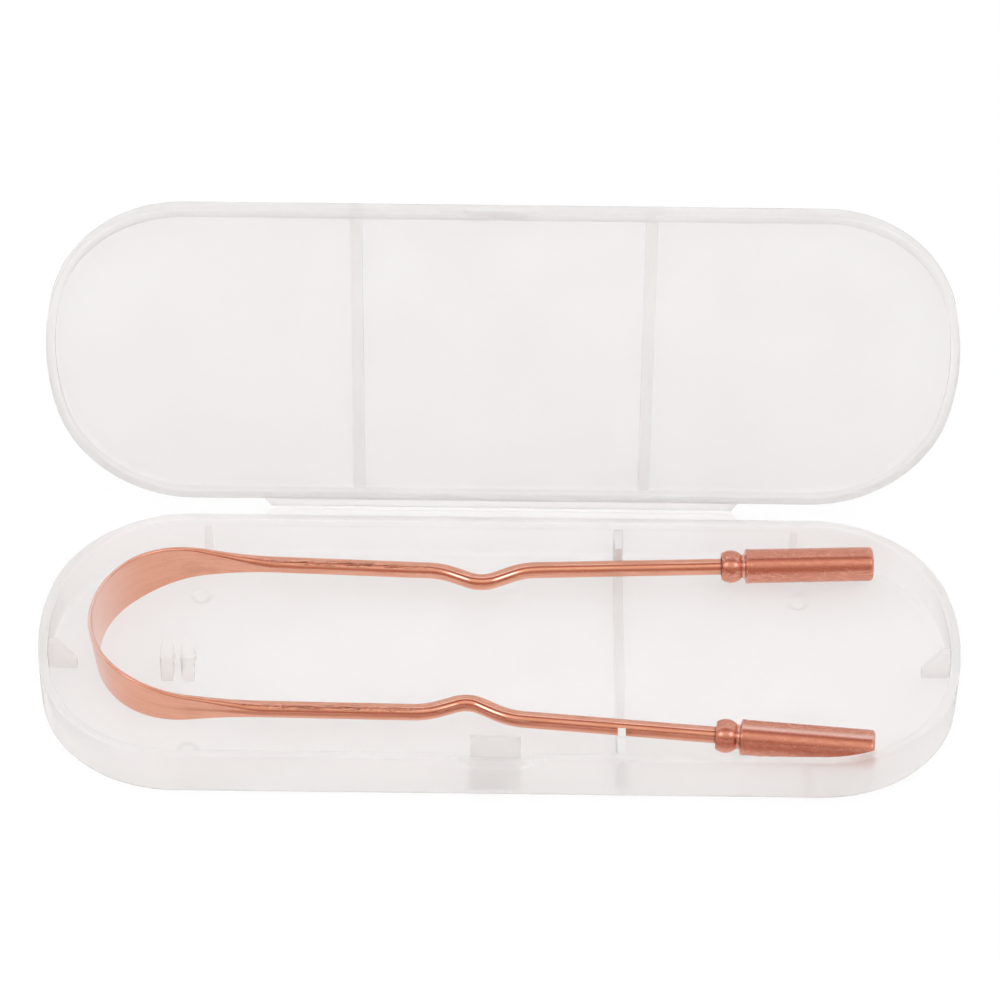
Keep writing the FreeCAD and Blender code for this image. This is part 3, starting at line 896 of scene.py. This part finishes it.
angle = np.arange(turn_points) / turn_points * 2 * np.pi
length, radius = sleeve_profile().T[..., None]
flow = np.stack(np.broadcast_arrays(length, radius * np.cos(angle), radius * np.sin(angle)), axis=-1)
# Painted shade inside the sleeve's mouth.
joint_shade = ((radius <= mouth_radius) & (length > 0) & (length < bead_length)) * 1.0
# Painted highlight across the neck.
bright = neck_brightness * bump_at(length, bead_length + neck_length / 2, neck_length)
sleeves = []
for name, side, shift in halves:
    start = rod_path(shift)[2]
    turn = np.arctan2(flow[..., 2], -flow[..., 1] * side)
    # Painted shade on the near lower side of the lower sleeve.
    lower_shade = bump_at(turn, lower_shade_turn, lower_shade_half_turn) * (side < 0)
    # A painted highlight along a line high on the lower sleeve's body.
    highlight_line = highlight_line_brightness * bump_at(turn, highlight_line_turn, highlight_line_half_turn)
    pale_and_sheen = np.maximum(bright, highlight_line * (side < 0) * (length > bead_length))
    x, y = turned_by(arm_spread, flow[..., 0], flow[..., 1])
    grid = place_scraper(np.stack([start[0] + x, (start[1] + y) * side, flow[..., 2]], axis=-1))
    sleeve = mesh_piece(name + "_sleeve", grid, flow,
                        {"wear": 1.0, "joint_shade": joint_shade, "pale_and_sheen": pale_and_sheen, "lower_shade": lower_shade})
    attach(sleeve, name)
    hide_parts(name.replace("arm", "handle"))
    sleeves.append(sleeve)

# %% [markdown]
# ## Finishes
#
# The case is milky polypropylene: nearly white, softly matt and slightly cloudy. The copper is bare metal
# that has been hammered and rubbed along its length, so its streaks run with the rod. Below, a noise is given
# by its stretch, detail and roughness, and a relief by its height in metres and its strength.

# %% Material helpers
white = (1, 1, 1)
black = (0, 0, 0)


def new_material(name):
    """Material with its node tree and its main shader."""
    material = bpy.data.materials.new(name)
    material.use_nodes = True
    return material, material.node_tree, material.node_tree.nodes["Principled BSDF"]


def connect(tree, value, socket):
    """Link a socket to value, or set it where value is a number, a vector or a colour."""
    if isinstance(value, bpy.types.NodeSocket):
        tree.links.new(value, socket)
    elif isinstance(value, (int, float)):
        socket.default_value = value
    else:
        socket.default_value = (*value, 1)[:len(socket.default_value)]


def node_on(tree, kind, **values):
    """New node with the inputs that are named here; an underscore stands for a space."""
    node = tree.nodes.new("ShaderNode" + kind)
    for key, value in values.items():
        connect(tree, value, node.inputs[key.replace("_", " ")])
    return node


def noise_on(tree, coordinates, stretch, detail, roughness):
    """Noise texture on coordinates that are first multiplied by stretch, per millimetre or per metre."""
    mapping = node_on(tree, "Mapping", Vector=coordinates, Scale=stretch)
    return node_on(tree, "TexNoise", Vector=mapping.outputs["Vector"], Scale=1.0, Detail=detail,
                   Roughness=roughness).outputs["Fac"]


def attribute_on(tree, name, output="Fac"):
    """Output of a mesh attribute."""
    node = tree.nodes.new("ShaderNodeAttribute")
    node.attribute_name = name
    return node.outputs[output]


def ramp_on(tree, factor, stops):
    """Colour ramp with stops of (place, colour)."""
    ramp = node_on(tree, "ValToRGB", Fac=factor)
    elements = ramp.color_ramp.elements
    for element, (place, colour) in zip(elements, (stops[0], stops[-1])):
        element.position = place
        element.color = (*colour, 1)
    for place, colour in stops[1:-1]:
        elements.new(place).color = (*colour, 1)
    return ramp.outputs["Color"]


def range_on(tree, value, before, after):
    """Value carried from the range before to the range after."""
    return node_on(tree, "MapRange", Value=value, From_Min=before[0], From_Max=before[1],
                   To_Min=after[0], To_Max=after[1]).outputs["Result"]


def math_on(tree, operation, first, second=0.0):
    """Math node for two sockets, or for a socket and a number."""
    node = tree.nodes.new("ShaderNodeMath")
    node.operation = operation
    connect(tree, first, node.inputs[0])
    connect(tree, second, node.inputs[1])
    return node.outputs["Value"]


def mix_colours(tree, blend_type, factor, first, second):
    """Mix node for two colours; each of the three is a value or a socket."""
    mix = tree.nodes.new("ShaderNodeMix")
    mix.data_type = "RGBA"
    mix.blend_type = blend_type
    for key, value in (("Factor", factor), ("A", first), ("B", second)):
        connect(tree, value, mix.inputs[key])
    return mix.outputs["Result"]


def bump_on(tree, height, distance, strength, normal=None):
    """Bump node for a height between 0 and 1; distance is in metres."""
    bump = node_on(tree, "Bump", Height=height, Distance=distance, Strength=strength)
    if normal is not None:
        connect(tree, normal, bump.inputs["Normal"])
    return bump.outputs["Normal"]


def make_materials(build, table):
    """Build each material of a table and give it to its pieces."""
    for name, (*values, pieces) in table.items():
        material = build(name, *values)
        for piece in pieces:
            piece.data.materials.append(material)


# %% Milky plastic
plastic_light = np.array([0.974, 0.960, 0.954])
plastic_dark = np.array([0.956, 0.939, 0.932])
cloud_noise = ((60, 60, 60), 3, 0.5)
cloud_low = 0.35
cloud_high = 0.65
# How far the painted shade darkens the crescents at the floor's marks.
mark_shade_tone = 0.85
skin_noise = ((2500, 2500, 2500), 2, 0.5)
skin_relief = (0.00003, 0.25)
plastic_roughness = 0.6


def milky_plastic(name, clearness, tone, refraction):
    """Nearly white plastic with faint clouds and a fine matt skin.

    clearness is its share of transmission, and tone makes its colours darker or lighter; a tone away from 1
    paints shade or light onto a piece. A rib or a block grows out of its wall and hardly shows, so it bends
    light less than a wall does.
    """
    material, tree, shader = new_material(name)
    place = tree.nodes.new("ShaderNodeTexCoord").outputs["Object"]
    colour = ramp_on(tree, noise_on(tree, place, *cloud_noise),
                     [(cloud_low, plastic_dark * tone), (cloud_high, plastic_light * tone)])
    # Painted shade: where the floor's marks carry their crescent, the colour is multiplied darker.
    mark_shade = attribute_on(tree, "mark_shade")
    colour = mix_colours(tree, "MULTIPLY", mark_shade, colour, (mark_shade_tone,) * 3)
    connect(tree, colour, shader.inputs["Base Color"])
    skin = noise_on(tree, place, *skin_noise)
    connect(tree, bump_on(tree, skin, *skin_relief), shader.inputs["Normal"])
    shader.inputs["Roughness"].default_value = plastic_roughness
    shader.inputs["IOR"].default_value = refraction
    shader.inputs["Transmission Weight"].default_value = clearness
    return material


# A row holds clearness, tone and refraction, and then the pieces.
# All rows are one plastic. Their tones are painted shade on the lid and the latch tongue, and painted light
# on the hinge web, ribs, fins and other blocks.
make_materials(milky_plastic, {
    "tray_plastic": (0.82, 0.996, 1.22, [tray, lid_leaf]),
    "lid_plastic": (0.82, 0.95, 1.3, [lid]),
    "latch_plastic": (0.82, 0.965, 1.22, [latch_tongue]),
    "rib_plastic": (0.9, 1.01, 1.12, [tray_leaf, hinge_fold, floor_rib, end_gussets, lid_ribs, lid_catch]),
    "fin_plastic": (0.3, 1.015, 1.12, fins),
    "block_plastic": (0.9, 1.02, 1.05, clip_fingers + [wall_ribs, latch_foot])})

# %% Copper
# The dark colour of the hammered scratches, also used as painted shade at the sleeve's mouth.
scratch_and_shade_colour = (0.17, 0.05, 0.03)
# Pale colour: paler metal near the loop's tip, and painted highlight on the sleeves.
pale_and_sheen_colour = (0.93, 0.66, 0.58)
dark_speck = (0.5, 0.4, 0.36)
light_speck = (1.15, 1.2, 1.25)
# Tint of the painted shade on the near lower side of the lower arm.
lower_shade_tint = (0.69, 0.51, 0.46)
joint_shade_share = 0.75
polished_share = 0.6
streak_low = 0.34
streak_high = 0.60
grain_noise = ((3.0, 5.0, 5.0), 3, 0.7)
grain_relief = (0.00001, 0.4)
speck_stops = [(0.27, dark_speck), (0.37, white), (0.60, white), (0.72, light_speck)]
scratch_noise = ((0.4, 5.0, 5.0), 4, 0.7)
cut_stops = [(0.455, white), (0.49, black)]
cut_relief = (-0.00004, 0.5)
gloss_range = (0.3, 0.7)


def copper(name, light, dark, smooth, rough, streak_noise):
    """Bare copper whose colour, gloss and fine relief follow the flow attribute.

    wear is 0 where the metal is even and 1 where it is mottled, seam is 1 where hammering has left dark
    scratches, and polish is 1 where bending has burnished it. Three more shares paint light and shade: the
    pale one is 1 near the loop's tip and as a painted highlight on the sleeves, one makes the near lower side
    of the lower arm darker and redder as painted shade, and one lays painted shade on the rod's end at the
    sleeve's mouth and inside it.
    """
    material, tree, shader = new_material(name)
    place = attribute_on(tree, "flow", "Vector")
    wear, pale_and_sheen, lower_shade = (attribute_on(tree, key) for key in ("wear", "pale_and_sheen", "lower_shade"))
    seam, joint_shade, polish = (attribute_on(tree, key) for key in ("seam", "joint_shade", "polish"))
    streaks = noise_on(tree, place, *streak_noise)
    grain = noise_on(tree, place, *grain_noise)
    scratches = noise_on(tree, place, *scratch_noise)
    mottled = ramp_on(tree, streaks, [(streak_low, dark), (streak_high, light)])
    base = mix_colours(tree, "MIX", wear, light, mottled)
    # Paler near the loop's tip, and painted highlight on the sleeves.
    base = mix_colours(tree, "MIX", pale_and_sheen, base, pale_and_sheen_colour)
    base = mix_colours(tree, "MULTIPLY", 1.0, base, ramp_on(tree, grain, speck_stops))
    # Painted shade on the lower arm's near lower side.
    base = mix_colours(tree, "MULTIPLY", lower_shade, base, lower_shade_tint)
    cuts = math_on(tree, "MULTIPLY", ramp_on(tree, scratches, cut_stops), seam)
    base = mix_colours(tree, "MIX", cuts, base, scratch_and_shade_colour)
    # Painted shade at the rod's end and in the sleeve's mouth, in the scratches' colour.
    joint_shade = math_on(tree, "MULTIPLY", joint_shade, joint_shade_share)
    base = mix_colours(tree, "MIX", joint_shade, base, scratch_and_shade_colour)
    connect(tree, base, shader.inputs["Base Color"])
    shader.inputs["Metallic"].default_value = 1.0
    gloss = range_on(tree, math_on(tree, "MULTIPLY", streaks, wear), gloss_range, (rough, smooth))
    polished = range_on(tree, polish, (0, 1), (1.0, polished_share))
    connect(tree, math_on(tree, "MULTIPLY", gloss, polished), shader.inputs["Roughness"])
    normal = bump_on(tree, cuts, *cut_relief)
    connect(tree, bump_on(tree, grain, *grain_relief, normal), shader.inputs["Normal"])
    return material


# A row holds light, dark, smooth, rough and streak_noise, and then the pieces.
make_materials(copper, {
    "wire_copper": ((0.855, 0.443, 0.32), (0.76, 0.35, 0.235), 0.15, 0.27,
                    ((0.12, 1.8, 1.8), 4, 0.6), arms),
    "sleeve_copper": ((0.755, 0.345, 0.25), (0.68, 0.28, 0.192), 0.25, 0.31,
                      ((0.5, 1.8, 1.8), 4, 0.6), sleeves)})

# %% [markdown]
# ## Light and floor
#
# A white floor and a white room light the pieces from all sides, and a soft lamp adds faint shadows. The
# floor glows where it is seen, so it comes out white. Bare metal needs something to mirror, so rays from
# a glossy surface see another room: dim and warm in front and cool behind, with two bright bands and a dark
# gap overhead and a bright window on each side.

# %% Floor
floor_size = 3.0
floor_drop = 0.00005
floor_colour = (0.9, 0.9, 0.9)
floor_roughness = 0.9
glow_strength = 1.03
glow_share = 0.8

floor_corners = [(x * floor_size, y * floor_size, -floor_drop)
                 for x, y in ((-1, -1), (1, -1), (1, 1), (-1, 1))]
floor_mesh = bpy.data.meshes.new("floor")
floor_mesh.from_pydata(floor_corners, [], [range(len(floor_corners))])
new_object("floor", floor_mesh)

floor_material, tree, shader = new_material("white_floor")
connect(tree, floor_colour, shader.inputs["Base Color"])
connect(tree, floor_roughness, shader.inputs["Roughness"])
rays = tree.nodes.new("ShaderNodeLightPath").outputs
onwards = math_on(tree, "MAXIMUM", rays["Is Glossy Ray"], rays["Is Transmission Ray"])
seen = math_on(tree, "MAXIMUM", rays["Is Camera Ray"], onwards)
glow = node_on(tree, "Emission", Strength=glow_strength)
mix = node_on(tree, "MixShader", Fac=math_on(tree, "MULTIPLY", seen, glow_share))
connect(tree, shader.outputs["BSDF"], mix.inputs[1])
connect(tree, glow.outputs["Emission"], mix.inputs[2])
connect(tree, mix.outputs["Shader"], tree.nodes["Material Output"].inputs["Surface"])
floor_mesh.materials.append(floor_material)

# %% World and lamp
backdrop = (0.9, 0.9, 0.9)
shade = (0.52, 0.30, 0.245)
gap_shade = (0.38, 0.15, 0.115)
side_light = (2.7, 3.1, 3.6)
overhead = [(0, shade), (28, shade), (43, (0.80, 0.70, 0.60)), (54, (1.05, 0.95, 0.84)),
            (66, (1.05, 0.95, 0.85)), (80, (0.70, 0.49, 0.40)), (86, gap_shade), (98, gap_shade),
            (102, (1.15, 1.2, 1.3)), (110, (1.15, 1.2, 1.3)), (117, (0.86, 0.88, 0.91)),
            (132, (0.82, 0.85, 0.89)), (150, (0.90, 0.94, 0.98)), (180, (0.90, 0.94, 0.98))]
side_window = [(0, black), (48, black), (54, white), (68, white), (74, black), (180, black)]
side_reach = [(0, black), (0.42, black), (0.50, white), (0.72, white), (0.80, black), (1, black)]
lamp_height = math.radians(66)
lamp_distance = 1.0
lamp_size = 0.45
lamp_power = 1.1


def turn_stops(stops):
    """Stops at degrees from the front, for a ramp that runs over half a turn."""
    return [(math.radians(degrees) / math.pi, colour) for degrees, colour in stops]


world = bpy.data.worlds.new("white_room")
bpy.context.scene.world = world
world.use_nodes = True
tree = world.node_tree
texture_place = tree.nodes.new("ShaderNodeTexCoord").outputs["Generated"]
direction = node_on(tree, "SeparateXYZ", Vector=texture_place).outputs
towards_front = math_on(tree, "MULTIPLY", direction["Y"], -1.0)
turn = range_on(tree, math_on(tree, "ARCTAN2", direction["Z"], towards_front), (0, math.pi), (0, 1))
reflected = ramp_on(tree, turn, turn_stops(overhead))
beside = ramp_on(tree, math_on(tree, "ABSOLUTE", direction["X"]), side_reach)
window = math_on(tree, "MULTIPLY", beside, ramp_on(tree, turn, turn_stops(side_window)))
reflected = mix_colours(tree, "MIX", window, reflected, side_light)
rays = tree.nodes.new("ShaderNodeLightPath").outputs
seen = mix_colours(tree, "MIX", rays["Is Glossy Ray"], white, reflected)
seen = mix_colours(tree, "MIX", rays["Is Transmission Ray"], seen, backdrop)
seen = mix_colours(tree, "MIX", rays["Is Camera Ray"], seen, white)
connect(tree, seen, tree.nodes["Background"].inputs["Color"])

lamp_direction = Vector((0.0, -math.cos(lamp_height), math.sin(lamp_height)))
lamp_data = bpy.data.lights.new("soft_lamp", "AREA")
lamp_data.shape = "SQUARE"
lamp_data.size = lamp_size
lamp_data.energy = lamp_power
lamp = new_object("soft_lamp", lamp_data)
lamp.visible_glossy = False
lamp.location = lamp_direction * lamp_distance
lamp.rotation_euler = lamp_direction.to_track_quat("Z", "Y").to_euler()
